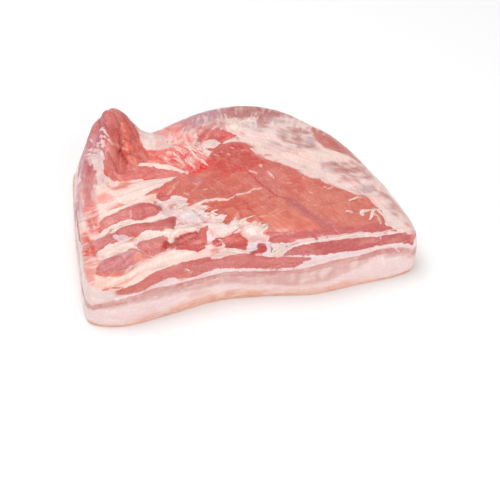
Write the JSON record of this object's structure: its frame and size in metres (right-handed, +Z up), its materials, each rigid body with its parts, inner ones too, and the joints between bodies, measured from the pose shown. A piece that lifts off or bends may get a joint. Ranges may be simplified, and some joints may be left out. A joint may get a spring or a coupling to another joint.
{
  "type": "pork belly slab",
  "caption": "Thick slab of raw pork belly with its rind underneath, a layered cut front, rolled rear edge and a folded-up rear corner.",
  "frame": {"origin": "centre of the bounding box's underside, on the flat rind the slab rests on", "axes": "+X along the long layered front cut, towards the end without the folded corner; +Y from the front cut to the rolled rear edge; +Z up, from the rind to the meat face"},
  "size_m": [0.2854, 0.2472, 0.0778],
  "materials": {
    "meat": "moist raw meat, layered with cream fat over a pale pink rind"
  },
  "bodies": {
    "root": {"belly_slab": "meat"}
  },
  "joints": []
}
